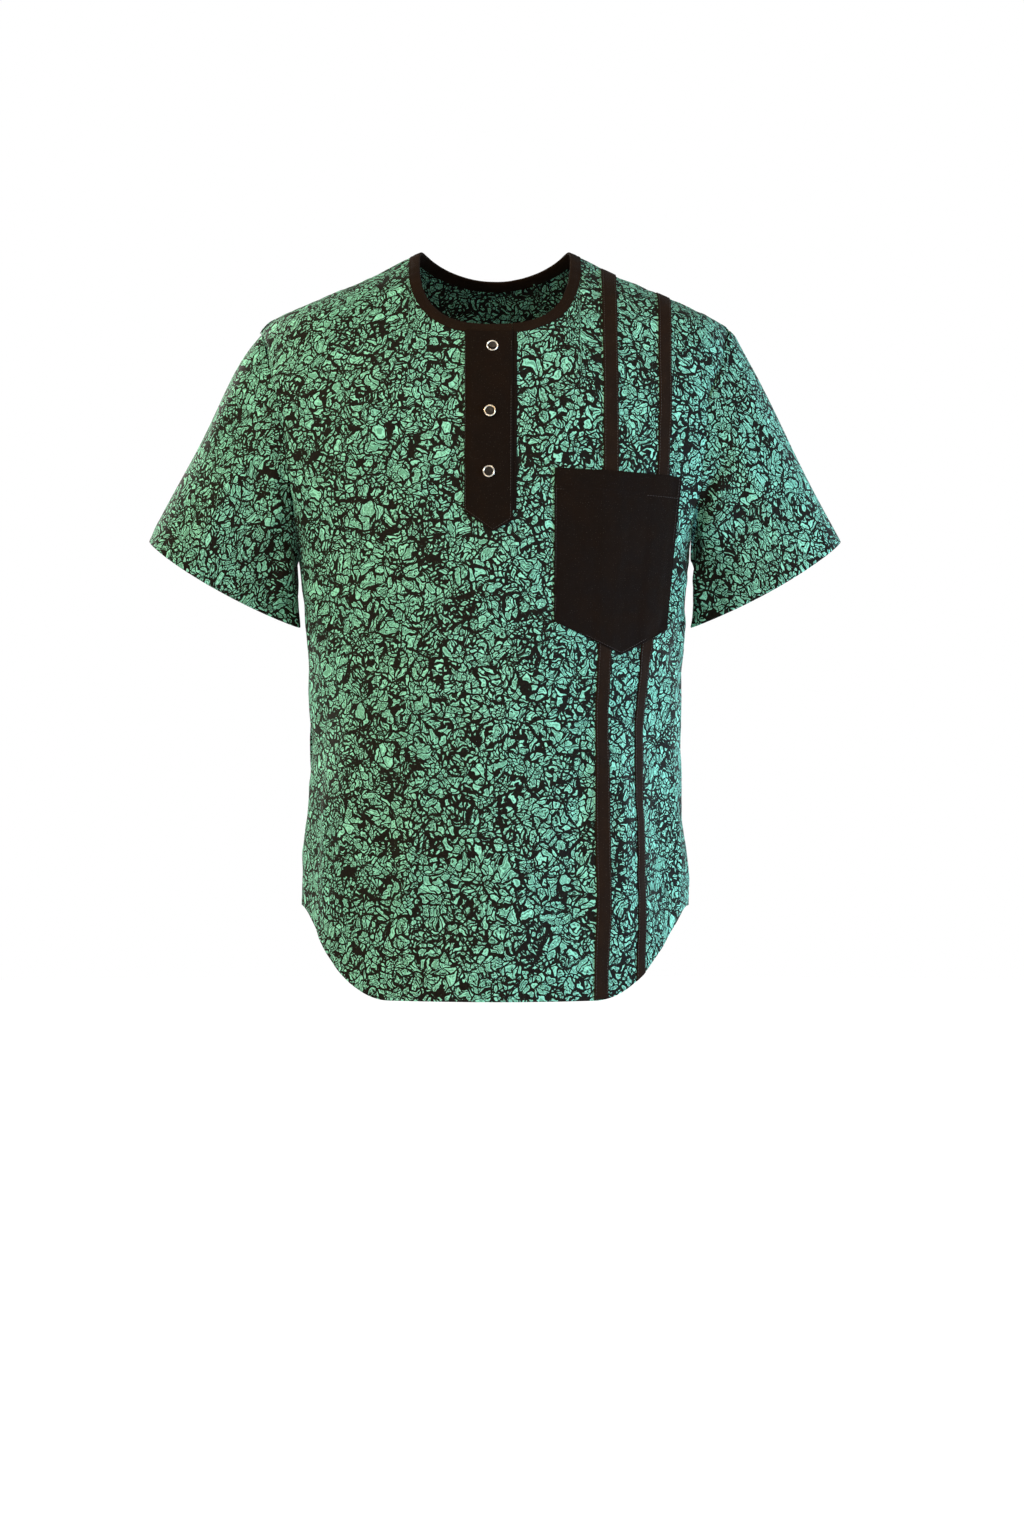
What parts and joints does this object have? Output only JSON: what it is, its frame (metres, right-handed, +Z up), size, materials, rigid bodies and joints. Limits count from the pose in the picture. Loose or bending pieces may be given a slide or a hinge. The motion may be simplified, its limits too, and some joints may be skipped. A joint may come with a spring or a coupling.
{
  "type": "african print shirt",
  "caption": "Short-sleeved pullover tunic in crackle print cotton, with a dark snap placket, neck binding, pointed patch pocket and two dark bands, hollow as worn.",
  "frame": {"origin": "midway between the two neck points of the shoulder seams, at the height where a wearer's shoulders carry the shirt", "axes": "+Z up, +X to the wearer's left, -Y to the wearer's front"},
  "size_m": [0.69, 0.2798, 0.7385],
  "materials": {
    "print_cloth": "crackle wax print on plain-weave cotton, sea green cells between near-black lines",
    "dark_cotton": "matt brown-black cotton twill",
    "snap_metal": "polished rim",
    "snap_cap": "glossy dark cap"
  },
  "bodies": {
    "root": {"front": "print_cloth", "back": "print_cloth", "sleeve_left": "print_cloth", "sleeve_right": "print_cloth", "neck_binding": "dark_cotton", "placket_under": "dark_cotton", "placket_over": "dark_cotton", "band_inner": "dark_cotton", "band_outer": "dark_cotton", "pocket": "dark_cotton", "snap_ring_1": "snap_metal", "snap_ring_2": "snap_metal", "snap_ring_3": "snap_metal", "snap_cap_1": "snap_cap", "snap_cap_2": "snap_cap", "snap_cap_3": "snap_cap"}
  },
  "joints": []
}
